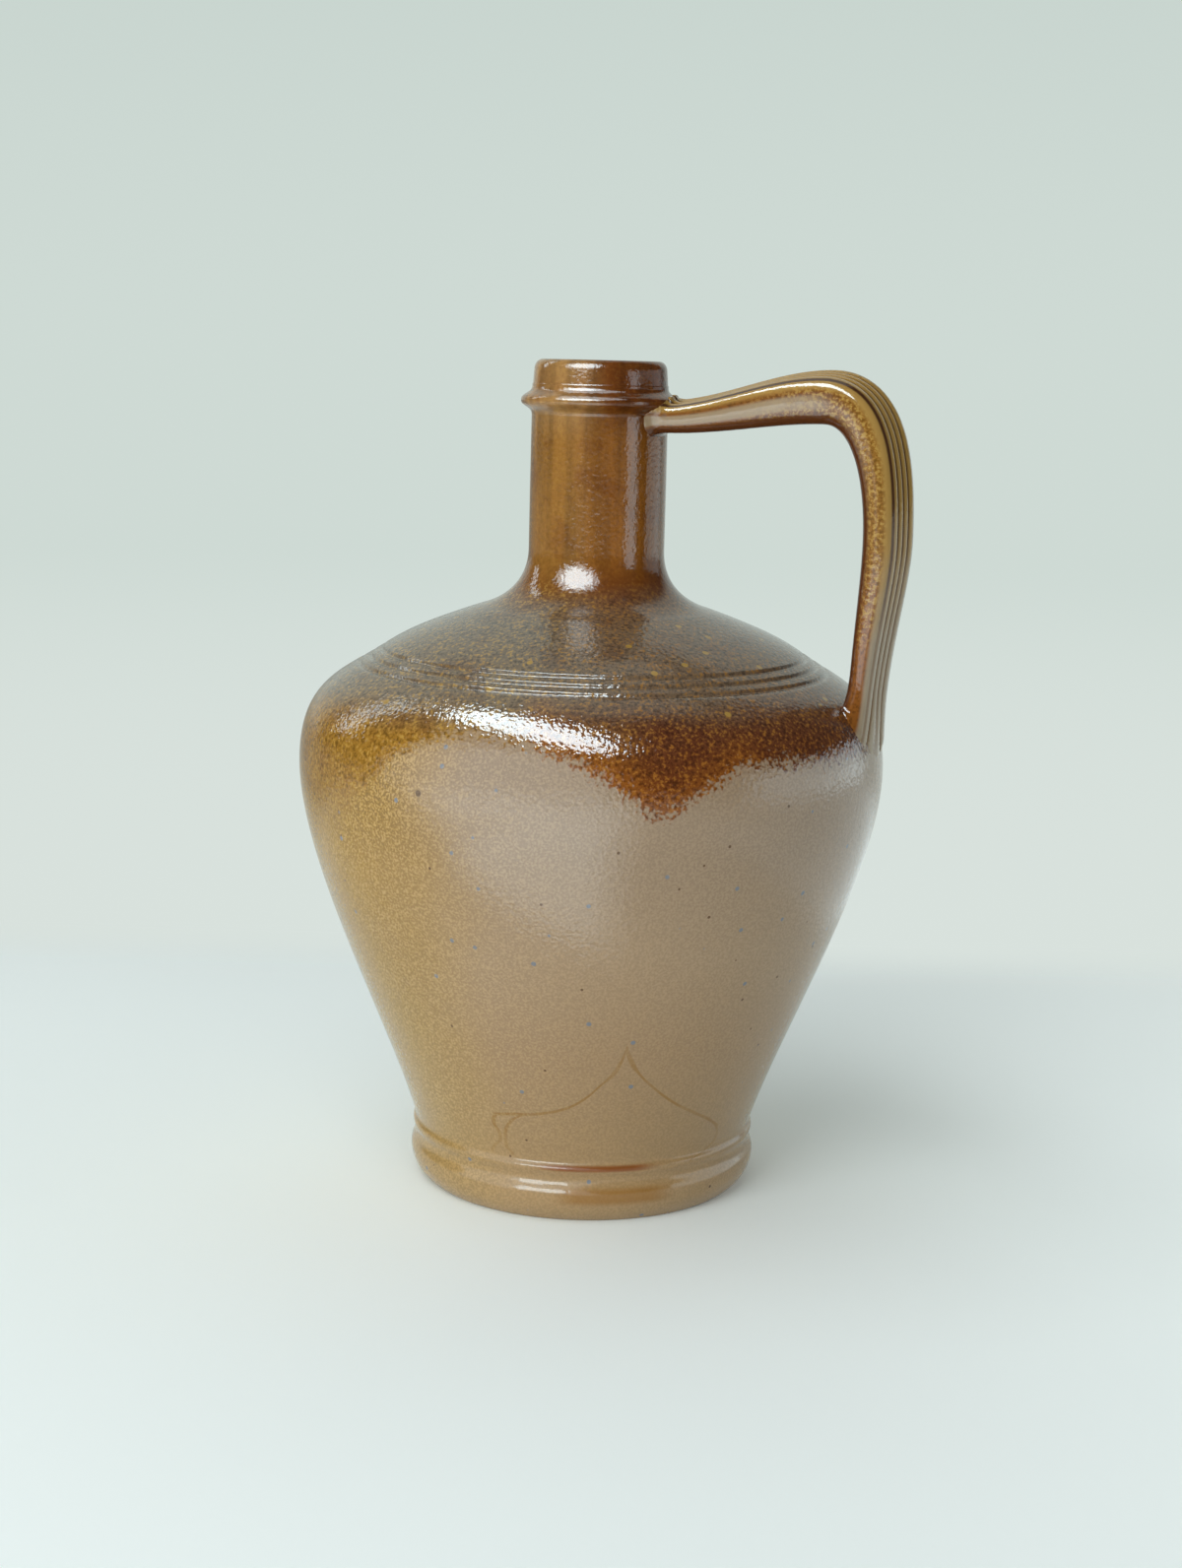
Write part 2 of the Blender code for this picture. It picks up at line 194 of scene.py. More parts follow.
def shoulder_outline():
    """From the widest line over the edge and up the dome to the neck, with short steps at both joints."""
    over = curve(WIDEST, WIDEST + at(0, 18.3), along(EDGE, EDGE_SLOPE, -11.4), EDGE, steps=36)
    dome = curve(EDGE, along(EDGE, EDGE_SLOPE, 14.0), along(SEAT, SEAT_SLOPE, -26.6), SEAT, steps=160)
    dome = dome[:-1] + [along(SEAT, SEAT_SLOPE, -JOINT_EDGE), SEAT]
    return over[:1] + [WIDEST + at(0, JOINT_EDGE)] + over[1:] + dome[1:]


def incised(outline):
    """The outline with three soft grooves turned into the shoulder."""
    normals = [moved - point for moved, point in zip(offset(outline, 1), outline)]
    cut = []
    for point, normal in zip(outline, normals):
        depth = 0.0
        for ring in RING_RADII:
            across = abs(point.x / MM - ring) / RING_HALF_WIDTH
            if across < 1 and point.y > WIDEST.y:
                depth = RING_DEPTH * MM * math.cos(across * math.pi / 2) ** RING_ROUNDNESS
        cut.append(point - depth * normal)
    return cut


def neck_root_outline():
    """From the dome in a flare up to the neck's tube, with a short first step at the joint."""
    root = curve(SEAT, along(SEAT, SEAT_SLOPE, 1.9), NECK_FOOT - at(0, 14.4), NECK_FOOT, steps=40)
    return root[:1] + [along(SEAT, SEAT_SLOPE, JOINT_EDGE)] + root[1:]


def lip_outline():
    """Up the lip's slightly drawn-in face and over its rounded top into the mouth."""
    outer = curve(LIP_FACE, LIP_FACE + at(-0.05, 1.7), CROWN + at(1.5, 0), CROWN, steps=10)
    inner = curve(RIM, RIM - at(0.8, 0), MOUTH + at(0, 0.9), MOUTH, steps=8)
    return [LIP_FOOT] + outer + inner


def collar_outline():
    """A roll of clay that feathers into the neck above and below."""
    roll = []
    for i in range(COLLAR_STEPS + 1):
        height = COLLAR_FOOT + i * COLLAR_STEP
        share = abs(height - COLLAR_MIDDLE) / COLLAR_SPREAD
        radius = COLLAR_NECK + COLLAR_STAND * math.exp(-share ** COLLAR_FULLNESS)
        if i in (0, COLLAR_STEPS):
            radius -= COLLAR_FEATHER
        roll.append(at(radius, height))
    return roll


def turned(name, outline):
    """A piece spun about the bottle's axis from the outline of its wall."""
    bpy.ops.object.select_all(action="DESELECT")
    bpy.ops.mesh.primitive_plane_add(size=MM)
    piece = bpy.context.active_object
    piece.name = name
    piece.data.name = name
    bpy.ops.object.mode_set(mode="EDIT")
    bpy.ops.mesh.select_mode(type="VERT")
    bpy.ops.mesh.merge(type="CENTER")
    bpy.ops.transform.translate(value=(outline[0].x, 0, outline[0].y))
    for before, after in zip(outline, outline[1:]):
        step = (after.x - before.x, 0, after.y - before.y)
        bpy.ops.mesh.extrude_vertices_move(TRANSFORM_OT_translate={"value": step})
    bpy.ops.mesh.select_all(action="SELECT")
    bpy.ops.mesh.spin(steps=TURN_STEPS, angle=2 * math.pi, center=(0, 0, 0), axis=(0, 0, 1))
    bpy.ops.mesh.select_all(action="SELECT")
    bpy.ops.mesh.remove_doubles(threshold=MERGE)
    bpy.ops.mesh.normals_make_consistent(inside=False)
    bpy.ops.object.mode_set(mode="OBJECT")
    bpy.ops.object.shade_smooth_by_angle(angle=CREASE)
    return piece


def lower_body():
    """The foot, the floor and the belly up to its widest line."""
    wall = [point for point in offset(belly_outline(), -WALL) if point.y > WALL_FOOT]
    level = Vector((wall[0].x - FLOOR_FILLET, FLOOR_TOP))
    corner = Vector((wall[0].x, FLOOR_TOP))
    level_handle = level.lerp(corner, FILLET_PULL)
    wall_handle = wall[0].lerp(corner, FILLET_PULL)
    fillet = curve(level, level_handle, wall_handle, wall[0], steps=8)
    inside = [Vector((0, FLOOR_TOP))] + joined(fillet, wall)
    outside = joined(foot_outline(), belly_outline())
    return turned("foot_and_belly", inside + outside[::-1] + [Vector((0, 0))])


def shoulder():
    """The dome over the widest line, with its turned rings, up to the neck; its inside is coarser."""
    outline = shoulder_outline()
    outside = incised(outline)
    inside = offset(outline, -WALL)[::4]
    return turned("ringed_shoulder", inside + outside[::-1] + inside[:1])


def neck():
    """The flared neck root, the tube with its bore, and the lip."""
    flare = offset(neck_root_outline(), -WALL)[0]
    bore = Vector((MOUTH.x, NECK_FOOT.y))
    inside = curve(flare, along(flare, SEAT_SLOPE, 6.0), bore - at(0, 7.4), bore, steps=16)
    tube = joined(neck_root_outline(), [NECK_FOOT, NECK_MIDDLE, NECK_TOP])
    outside = tube + lip_outline()
    return turned("flared_neck", inside + outside[::-1] + inside[:1])


def collar_ring():
    """The roll of clay round the neck, under the lip."""
    roll = collar_outline()
    top = COLLAR_FOOT + COLLAR_STEPS * COLLAR_STEP
    inner = [at(COLLAR_SEAT, COLLAR_FOOT), at(COLLAR_SEAT, top)]
    return turned("neck_collar", inner + roll[::-1] + inner[:1])


def strap_knots():
    """The strap's centre line as (handle, point, handle) knots, from the neck's wall into the shoulder."""
    tuck = along(TAIL, TUCK_SLOPE, 5.5)
    return (
        (ROOT, ROOT, along(ROOT, -6 * DEGREE, 22.0)),
        (CREST - at(18.0, 0), CREST, CREST + at(13.1, 0)),
        (GRIP + at(0, 24.6), GRIP, GRIP - at(0, 13.7)),
        (TAIL + at(0, 25.3), TAIL, TAIL - at(0, 2.0)),
        (along(tuck, TUCK_SLOPE, -2.0), tuck, tuck),
    )


def strap_line(steps):
    """Points along the centre line, each with its station from 0 at the root to 3 at the tail, and beyond."""
    knots = strap_knots()
    points = []
    for i in range(len(knots) - 1):
        stretch = curve(knots[i][1], knots[i][2], knots[i + 1][0], knots[i + 1][1], steps)
        points += [(point, i + j / steps) for j, point in enumerate(stretch[:-1])]
    return points + [(knots[-1][1], len(knots) - 1)]


def eased(station, sizes):
    """A size at a station of the strap, going softly from one knot's size to the next."""
    knot = min(int(station), len(sizes) - 2)
    share = min(station - knot, 1)
    return sizes[knot] + share * share * (3 - 2 * share) * (sizes[knot + 1] - sizes[knot])


def bar_section():
    """The bar's section as (across, outward) points: four reeds outside, round edges, a plain inner face."""
    half = BAR_THICKNESS / 2
    flat = BAR_WIDTH / 2 - BAR_EDGE
    last = REED_COUNT * REED_STEPS
    reeds = []
    for i in range(1, last):
        reed = (i / REED_STEPS) % 1
        drop = abs(2 * reed - 1) ** REED_ROUNDNESS
        if i < REED_STEPS / 2 or i > last - REED_STEPS / 2:
            drop *= OUTER_REED_DROP
        reeds.append((-flat + 2 * flat * i / last, half - drop))
    right = []
    for i in range(BAR_EDGE_STEPS + 1):
        angle = math.pi * i / BAR_EDGE_STEPS
        right.append((flat + BAR_EDGE * math.sin(angle), (half - BAR_EDGE_DROP) * math.cos(angle)))
    back = BAR_EDGE_DROP - half - BAR_BACK_CROWN
    inner = [(flat * (1 - 2 * i / BAR_BACK_STEPS), back) for i in range(1, BAR_BACK_STEPS)]
    left = [(-across, outward) for across, outward in reversed(right)]
    return reeds + right + inner + left


def ring_places(line):
    """Distances and stations at which the bar gets a ring, closer together at the two roots."""
    lengths = [0.0]
    for (before, _), (after, _) in zip(line, line[1:]):
        lengths.append(lengths[-1] + (after - before).length)
    stations = [station for _, station in line]
    tail = next(length for length, station in zip(lengths, stations) if station >= TAIL_STATION)
    places = []
    place = BAR_START
    while place < lengths[-1]:
        places.append((place, next(station for length, station in zip(lengths, stations) if length >= place)))
        near_root = place < ROOT_LENGTH or place > tail - ROOT_LENGTH
        place += ROOT_STEP if near_root else BAR_STEP
    return places


def strap_path():
    """The centre line as a curve for the bar to follow."""
    bpy.ops.object.select_all(action="DESELECT")
    bpy.ops.curve.primitive_bezier_curve_add()
    path = bpy.context.active_object
    path.data.dimensions = "3D"
    path.data.twist_mode = "MINIMUM"
    path.data.resolution_u = 64
    path.data.use_deform_bounds = False
    knots = strap_knots()
    spline = path.data.splines[0]
    spline.bezier_points.add(len(knots) - 2)
    for bezier, (left, point, right) in zip(spline.bezier_points, knots):
        bezier.handle_left_type = "FREE"
        bezier.handle_right_type = "FREE"
        bezier.co = (point.x, 0, point.y)
        bezier.handle_left = (left.x, 0, left.y)
        bezier.handle_right = (right.x, 0, right.y)
        bezier.tilt = STRAP_TILT
    return path


def strap_bar(line):
    """A straight reeded bar, drawn out ring by ring, as wide and thick at each place as the strap."""
    section = bar_section()
    places = ring_places(line)
    bpy.ops.object.select_all(action="DESELECT")
    bpy.ops.mesh.primitive_circle_add(vertices=len(section), radius=BAR_WIDTH / 2 * MM)
    bar = bpy.context.active_object
    bar.name = "reeded_handle"
    bar.data.name = "reeded_handle"
    bpy.ops.object.mode_set(mode="EDIT")
    bpy.ops.mesh.select_mode(type="EDGE")
    mesh = bmesh.from_edit_mesh(bar.data)
    width = eased(places[0][1], STRAP_WIDTHS) / BAR_WIDTH
    thickness = eased(places[0][1], STRAP_THICKNESSES) / BAR_THICKNESS
    for vert, (across, outward) in zip(mesh.verts, section):
        vert.co = (places[0][0], -across * width * MM, outward * thickness * MM)
    bmesh.update_edit_mesh(bar.data)
    bpy.ops.mesh.select_all(action="SELECT")
    for (before, _), (place, station) in zip(places, places[1:]):
        wider = eased(station, STRAP_WIDTHS) / BAR_WIDTH / width
        thicker = eased(station, STRAP_THICKNESSES) / BAR_THICKNESS / thickness
        width *= wider
        thickness *= thicker
        step = (place - before, 0, 0)
        bpy.ops.mesh.extrude_edges_move(TRANSFORM_OT_translate={"value": step})
        bpy.ops.transform.resize(value=(1, wider, thicker), center_override=(place, 0, 0))
    bpy.ops.mesh.select_all(action="SELECT")
    bpy.ops.mesh.fill_holes(sides=0)
    bpy.ops.mesh.normals_make_consistent(inside=False)
    bpy.ops.object.mode_set(mode="OBJECT")
    mark_strap(bar, places)
    return bar


def mark_strap(bar, places):
    """Keeps on each point of the straight bar how far along, across and outward it lies, for its glaze."""
    marks = bar.data.attributes.new("strap", "FLOAT_VECTOR", "POINT")
    for vert, mark in zip(bar.data.vertices, marks.data):
        station = min(places, key=lambda ring: abs(ring[0] - vert.co.x))[1]
        across = vert.co.y / (eased(station, STRAP_WIDTHS) / 2 * MM)
        outward = vert.co.z / (eased(station, STRAP_THICKNESSES) / 2 * MM)
        mark.vector = (station, across, outward)


def settle(strap, line):
    """Wipes the two roots of the strap out over the neck and the shoulder, as soft clay is."""
    tube = [NECK_FOOT, Vector((NECK_TOP.x, COLLAR_FOOT * MM))]
    outline = joined(belly_outline(), shoulder_outline(), neck_root_outline(), tube, collar_outline())
    shares = [step / 8 for step in range(8)]
    body = KDTree(len(outline) * len(shares))
    for i, (low, high) in enumerate(zip(outline, outline[1:])):
        for share in shares:
            place = low.lerp(high, share)
            body.insert((place.x, 0, place.y), i)
    body.balance()
    middle = KDTree(len(line))
    for i, (point, _) in enumerate(line):
        middle.insert((point.x, 0, point.y), i)
    middle.balance()
    for vert in strap.data.vertices:
        around = Vector((vert.co.x, vert.co.y, 0)).normalized()
        radius = math.hypot(vert.co.x, vert.co.y)
        nearest, i, _ = body.find((radius, 0, vert.co.z))
        slope = (outline[i + 1] - outline[i]).normalized()
        normal = slope.y * around - slope.x * UP
        gap = max((radius - nearest.x) * slope.y - (vert.co.z - nearest.z) * slope.x, 0)
        rise, reach = NECK_WIPE if vert.co.z > GRIP.y else SHOULDER_WIPE
        if gap >= rise:
            continue
        spread = reach * (1 - math.sqrt(1 - (1 - gap / rise) ** 2))
        aside = vert.co - middle.find(vert.co)[0]
        aside -= aside.dot(normal) * normal
        vert.co += spread * aside.normalized()


def handle():
    """The pulled, reeded strap from the neck over the crest and down the grip to the shoulder."""
    line = strap_line(steps=120)
    strap = strap_bar(line)
    path = strap_path()
    bpy.ops.object.select_all(action="DESELECT")
    strap.select_set(True)
    bpy.context.view_layer.objects.active = strap
    follow = strap.modifiers.new("follow", "CURVE")
    follow.object = path
    follow.deform_axis = "POS_X"
    bpy.ops.object.modifier_apply(modifier="follow")
    bpy.data.objects.remove(path, do_unlink=True)
    settle(strap, line)
    bpy.ops.object.shade_smooth_by_angle(angle=STRAP_CREASE)
    return strap


def add(tree, kind, inputs=None, **settings):
    """A node with its settings, and each input set to a value or linked to a socket."""
    made = tree.nodes.new(kind)
    for name, value in settings.items():
        setattr(made, name, value)
    for name, value in (inputs or {}).items():
        if isinstance(value, bpy.types.NodeSocket):
            tree.links.new(value, made.inputs[name])
        else:
            made.inputs[name].default_value = value
    return made


def sums(tree, operation, first, second=0.0):
    """The result of one operation on two values."""
    return add(tree, "ShaderNodeMath", {0: first, 1: second}, operation=operation).outputs[0]


def times(tree, first, second):
    """One value times another."""
    return sums(tree, "MULTIPLY", first, second)


def apart(tree, first, second):
    """How far two values lie from each other."""
    return sums(tree, "ABSOLUTE", sums(tree, "SUBTRACT", first, second))


def measured(tree, place, direction):
    """How far a place lies in a direction."""
    node = add(tree, "ShaderNodeVectorMath", {0: place, 1: direction}, operation="DOT_PRODUCT")
    return node.outputs["Value"]


def ease(tree, value, low, high, start=0.0, end=1.0):
    """Start to end as the value goes from low to high, softly at both."""
    limits = {"Value": value, "From Min": low, "From Max": high, "To Min": start, "To Max": end}
    return add(tree, "ShaderNodeMapRange", limits, interpolation_type="SMOOTHSTEP").outputs["Result"]


def within(tree, value, low, high, soft):
    """One between low and high, falling to nothing over a soft border outside them."""
    return times(tree, ease(tree, value, low - soft, low), ease(tree, value, high + soft, high))


def blend(tree, share, first, second, kind="MIX"):
    """The first colour with a share of the second."""
    node = add(tree, "ShaderNodeMix", data_type="RGBA", blend_type=kind)
    for socket, value in zip((node.inputs[0], node.inputs[6], node.inputs[7]), (share, first, second)):
        if isinstance(value, bpy.types.NodeSocket):
            tree.links.new(value, socket)
        else:
            socket.default_value = value
    return node.outputs[2]


def shaded(tree, colour, value):
    """The colour made lighter or darker by a value."""
    grey = add(tree, "ShaderNodeCombineColor", {0: value, 1: value, 2: value}).outputs[0]
    return blend(tree, 1.0, colour, grey, "MULTIPLY")


def noise(tree, vector, scale, detail=2.0, roughness=0.5):
    """A cloudy pattern, with a scale in repeats to a metre."""
    inputs = {"Vector": vector, "Scale": scale, "Detail": detail, "Roughness": roughness}
    return add(tree, "ShaderNodeTexNoise", inputs).outputs[0]


def wander(tree, place, scale):
    """A cloudy pattern about zero, to sway the borders of colours."""
    return sums(tree, "SUBTRACT", noise(tree, place, scale, 3.0), 0.5)


def bands(tree, height, stops):
    """A colour that changes with height, given as (height, colour) stops."""
    ramp = add(tree, "ShaderNodeValToRGB", {"Fac": sums(tree, "DIVIDE", height, HEIGHT)})
    points = ramp.color_ramp.elements
    while len(points) < len(stops):
        points.new(0.5)
    for point, (place, colour) in zip(points, stops):
        point.position = place / HEIGHT
    for point, (place, colour) in zip(points, stops):
        point.color = (*colour, 1)
    return ramp.outputs["Color"]


def drawn(tree, value, knots):
    """A value read off a curve drawn through (value, result) knots."""
    results = [result for _, result in knots]
    first, last, low, high = knots[0][0], knots[-1][0], min(results), max(results)
    limits = {"Value": value, "From Min": first, "From Max": last}
    share = add(tree, "ShaderNodeMapRange", limits).outputs["Result"]
    node = add(tree, "ShaderNodeFloatCurve", {"Value": share})
    line = node.mapping.curves[0]
    while len(line.points) < len(knots):
        line.points.new(0.5, 0.5)
    for point, (place, result) in zip(line.points, knots):
        point.location = ((place - first) / (last - first), (result - low) / (high - low))
        point.handle_type = "AUTO_CLAMPED"
    node.mapping.update()
    return sums(tree, "ADD", times(tree, node.outputs[0], high - low), low)


def spots(tree, place, spacing, radius, share):
    """Round spots of one radius, scattered a spacing apart, of which a share is kept."""
    cells = add(tree, "ShaderNodeTexVoronoi", {"Vector": place, "Scale": 1 / (spacing * MM)})
    reach = radius / spacing
    inside = ease(tree, cells.outputs["Distance"], reach * 1.15, reach * 0.85)
    lot = add(tree, "ShaderNodeSeparateColor", {"Color": cells.outputs["Color"]}).outputs[0]
    return times(tree, inside, sums(tree, "LESS_THAN", lot, share))


# Colours of the wash and the ground by height, where the flame struck the bottle and in its lee; the wash's
# dome rows are greyed by a painted reflection
IRON_AND_DOME_REFLECTION_FLAME_SIDE = (
    (0, (0.43, 0.235, 0.026)),
    (146, (0.31, 0.15, 0.02)),
    # From 155 to 174: the dome's brown, greyed by a painted reflection
    (155, (0.19, 0.137, 0.083)),
    (174, (0.175, 0.138, 0.095)),
    (184, (0.20, 0.078, 0.014)),
    (196, (0.29, 0.13, 0.022)),
    (228, (0.28, 0.125, 0.022)),
    (236, (0.35, 0.185, 0.06)),
    (250, (0.35, 0.185, 0.06)),
)
IRON_AND_DOME_REFLECTION_LEE_SIDE = (
    (0, (0.145, 0.036, 0.005)),
    (132, (0.145, 0.036, 0.005)),
    (150, (0.13, 0.043, 0.016)),
    # From 159 to 174: the dome's brown, greyed by a painted reflection
    (159, (0.17, 0.112, 0.068)),
    (174, (0.175, 0.118, 0.072)),
    (185, (0.17, 0.052, 0.009)),
    (196, (0.28, 0.10, 0.012)),
    (228, (0.26, 0.092, 0.012)),
    (236, (0.15, 0.042, 0.006)),
    (250, (0.15, 0.042, 0.006)),
)
TAN_FLAME_SIDE = (
    (0, (0.45, 0.29, 0.115)),
    (60, (0.43, 0.26, 0.067)),
    (85, (0.41, 0.238, 0.056)),
    (110, (0.43, 0.237, 0.031)),
    (140, (0.43, 0.23, 0.02)),
)
TAN_LEE_SIDE = (
    (0, (0.44, 0.285, 0.135)),
    (22, (0.39, 0.248, 0.115)),
    (55, (0.38, 0.241, 0.124)),
    (85, (0.39, 0.262, 0.151)),
    (115, (0.335, 0.229, 0.14)),
    (140, (0.325, 0.226, 0.143)),
)

# Colours of single marks in the glaze, with painted reflections and glints among them
RUN_RED = (0.28, 0.085, 0.01, 1)
EDGE_DOT_RED = (0.40, 0.15, 0.02, 1)
DOT_BROWN = (0.39, 0.18, 0.03, 1)
DOT_OCHRE = (0.49, 0.29, 0.06, 1)
FLECK_OCHRE = (0.38, 0.23, 0.05, 1)
CLOUD_SHADE = (0.65, 0.5, 0.45, 1)
MEETING_BROWN = (0.29, 0.145, 0.03, 1)
# Painted reflection: the bead and the roll turn redder where they mirror the dark room, not the pale table
BEAD_PAINTED_REFLECTION_RED = (0.26, 0.085, 0.02, 1)
ROLL_PAINTED_REFLECTION_BROWN = (0.33, 0.15, 0.025, 1)
SPECK_BLUE = (0.20, 0.205, 0.225, 1)
SPECK_DARK = (0.13, 0.065, 0.03, 1)
# Painted glints of the orange peel
PAINTED_GLINT_PALE = (0.66, 0.48, 0.22, 1)
BLOT_DARK = (0.08, 0.035, 0.015, 1)

# Colours of the strap
STRAP_ROOT_BROWN = (0.22, 0.08, 0.014, 1)
STRAP_BEND_BROWN = (0.29, 0.13, 0.022, 1)
STRAP_GRIP_BROWN = (0.26, 0.088, 0.014, 1)
STRAP_DOT_OCHRE = (0.47, 0.29, 0.07, 1)
# Painted reflection of the table along the upper run's sides
STRAP_PAINTED_REFLECTION_PALE = (0.36, 0.27, 0.165, 1)
# Painted shade on the inner face, which faces the bottle
STRAP_INNER_FACE_PAINTED_SHADE = (0.10, 0.03, 0.008, 1)
REED_OCHRE = (0.42, 0.245, 0.065, 1)
REED_PALE = (0.39, 0.30, 0.2, 1)
REED_GROOVE_DARK = (0.075, 0.028, 0.01, 1)
REED_GROOVE_PALE = (0.25, 0.15, 0.07, 1)

# How fine each pattern is, in repeats to a metre
PEEL = 800.0
GRIT = 1400.0
SPECKLE = 900.0
STREAKS = 260.0
CLOUDS = 90.0
WEAR = 110.0
SWAY = 24.0
STRAP_SWAY = 60.0

# Where marks lie, as low, high and soft border: heights, turns from the camera in degrees, or sines of turns
FLECK_HEIGHTS = (150, 182, 4)
BLOT_HEIGHTS = (128, 150, 4)
# Where the painted reflection lies on the bead and the roll
BEAD_REFLECTION_HEIGHTS = (16.6, 17.4, 0.9)
BEAD_REFLECTION_TURNS = (-6, 16, 12)
ROLL_REFLECTION_HEIGHTS = (7.4, 9.8, 2.2)
ROLL_REFLECTION_TURNS = (0, 22, 11)
RUN_FLANKS = (-0.15, 0.12, 0.15)
BORDER_FLANKS = (-0.1, 0.42, 0.18)

# The wash's edge and the meeting line over the foot as (turn, height), that line's curls as (height, turn)
WASH_EDGE = (
    (-180, 141),
    (-120, 146),
    (-85, 134),
    (-60, 123),
    (-48, 129),
    (-38, 141),
    (-32, 145.8),
    (-22, 149.2),
    (-7, 145.2),
    (2, 138.8),
    (8.6, 132.4),
    (12.6, 129.2),
    (17.5, 133),
    (25, 138.6),
    (29, 141.6),
    (58, 140.6),
    (95, 147),
    (130, 138),
    (150, 133),
    (180, 141),
)
OGEE_LEFT = (
    (-27, 32.6),
    (-21, 33.6),
    (-13, 34.7),
    (-5, 37.1),
    (0, 40.3),
    (4.2, 44.9),
    (8.4, 50.5),
    (10.1, 56),
    (11, 62),
)
OGEE_RIGHT = (
    (9.8, 62),
    (10.6, 57),
    (14.3, 49.6),
    (19.1, 44.2),
    (27, 37.8),
    (34.3, 33.6),
    (41.8, 29.7),
    (48, 25.9),
)
OGEE_CURLS = (
    ((20, -30), (22, -28.4), (25.4, -26), (30, -27.5), (32.8, -26)),
    ((20, -22.6), (22.7, -24.4), (27, -24), (31.2, -21.4), (34, -17)),
    ((17, 38), (19.4, 46.4), (22.4, 48.9), (25.9, 47.2), (29.7, 41.8)),
)
OGEE_POINT = 10.5
OGEE_TURNS = (-26, 47, 2)


def ogee_line(tree, turn, height):
    """The line where two runs of glaze meet over the foot, with its curled ends."""
    line = sums(tree, "MINIMUM", drawn(tree, turn, OGEE_LEFT), drawn(tree, turn, OGEE_RIGHT))
    width = ease(tree, apart(tree, turn, OGEE_POINT), 5.0, 1.0, 0.7, 2.2)
    mark = ease(tree, sums(tree, "DIVIDE", apart(tree, height, line), width), 1.0, 0.4)
    mark = times(tree, mark, within(tree, turn, *OGEE_TURNS))
    for curl in OGEE_CURLS:
        low, high = curl[0][0], curl[-1][0]
        drop = ease(tree, apart(tree, turn, drawn(tree, height, curl)), 0.9, 0.35)
        drop = times(tree, drop, within(tree, height, low, high, 1))
        mark = sums(tree, "MAXIMUM", mark, drop)
    return mark


def speckle(tree, place):
    """The fine pattern of light and dark dots in an iron glaze."""
    return noise(tree, place, SPECKLE, 3.0, 0.65)


def iron_wash(tree, place, flank, height, sway, above):
    """Iron-brown wash: redder where it ran, dotted and flecked on the shoulder, greyed by a painted
    reflection on the dome, streaked down the neck.
    """
    swayed = sums(tree, "ADD", height, times(tree, sway, 12.0))
    lee = ease(tree, sums(tree, "ADD", flank, times(tree, sway, 0.4)), -0.45, 0.2)
    # The bands' dome rows are greyed by a painted reflection
    iron = blend(tree, lee, bands(tree, swayed, IRON_AND_DOME_REFLECTION_FLAME_SIDE), bands(tree, swayed, IRON_AND_DOME_REFLECTION_LEE_SIDE))
    run = times(tree, ease(tree, above, 15.0, 1.0), within(tree, flank, *RUN_FLANKS))
    border = times(tree, ease(tree, above, 11.0, 0.0, 0.0, 0.8), within(tree, flank, *BORDER_FLANKS))
    iron = blend(tree, times(tree, sums(tree, "MAXIMUM", run, border), 0.8), iron, RUN_RED)
    speck = speckle(tree, place)
    below_neck = ease(tree, height, 190.0, 176.0)
    pitted = ease(tree, below_neck, 0.0, 1.0, 0.85, 0.5)
    iron = shaded(tree, iron, ease(tree, speck, 0.36, 0.5, pitted, 1.0))
    dots = blend(tree, ease(tree, height, 144.0, 156.0), EDGE_DOT_RED, DOT_BROWN)
    dots = blend(tree, lee, DOT_OCHRE, dots)
    dotted = times(tree, ease(tree, speck, 0.54, 0.62), ease(tree, below_neck, 0.0, 1.0, 0.12, 0.66))
    iron = blend(tree, dotted, iron, dots)
    upright = {0: place, 1: (1, 1, 0.05)}
    drawn_out = add(tree, "ShaderNodeVectorMath", upright, operation="MULTIPLY").outputs[0]
    streaked = shaded(tree, iron, ease(tree, noise(tree, drawn_out, STREAKS), 0.3, 0.7, 0.74, 1.13))
    iron = blend(tree, ease(tree, height, 182.0, 194.0), iron, streaked)
    clouds = times(tree, ease(tree, noise(tree, place, CLOUDS, 4.0, 0.6), 0.5, 0.68), 0.5)
    iron = blend(tree, clouds, iron, blend(tree, 1.0, iron, CLOUD_SHADE, "MULTIPLY"))
    flecks = times(tree, spots(tree, place, 8.0, 1.0, 0.6), within(tree, height, *FLECK_HEIGHTS))
    return blend(tree, flecks, iron, FLECK_OCHRE)


